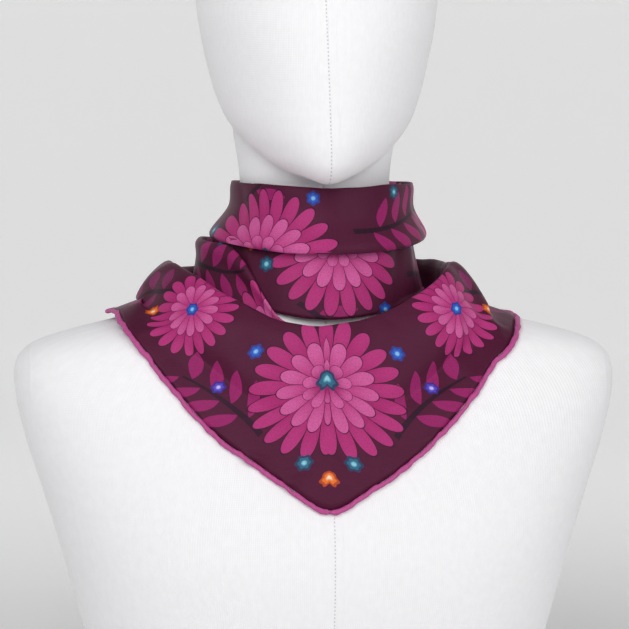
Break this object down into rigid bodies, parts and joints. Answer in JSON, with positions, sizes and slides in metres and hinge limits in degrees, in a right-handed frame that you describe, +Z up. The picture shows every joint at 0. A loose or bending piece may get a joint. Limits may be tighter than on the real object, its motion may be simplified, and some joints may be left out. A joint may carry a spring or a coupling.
{
  "type": "silk square scarf on a limbless display bust",
  "caption": "Silk twill square scarf with a rolled hem, worn point to the front as a draped cowl, wound round the neck and knotted at the nape, on a plain jersey display bust.",
  "frame": {"origin": "centre of the bust's flat base, under the neck axis", "axes": "+Z up along the neck, -Y to the front where the scarf's point lies, +X to the viewer's right"},
  "size_m": [0.395, 0.213, 0.576],
  "materials": {
    "printed_silk": "silk twill with a soft sheen, plum ground with a floral print",
    "hem_silk": "rolled silk hem, pink, soft sheen",
    "jersey": "fine white rib-knit jersey, matt"
  },
  "bodies": {
    "root": {"display_bust": "jersey", "front_drape": "printed_silk", "side_fold_left": "printed_silk", "neck_band_lower": "printed_silk", "neck_band_upper": "printed_silk", "nape_knot": "printed_silk", "tail_left": "printed_silk", "tail_right": "printed_silk", "hem_front_left": "hem_silk", "hem_front_right": "hem_silk"}
  },
  "joints": []
}
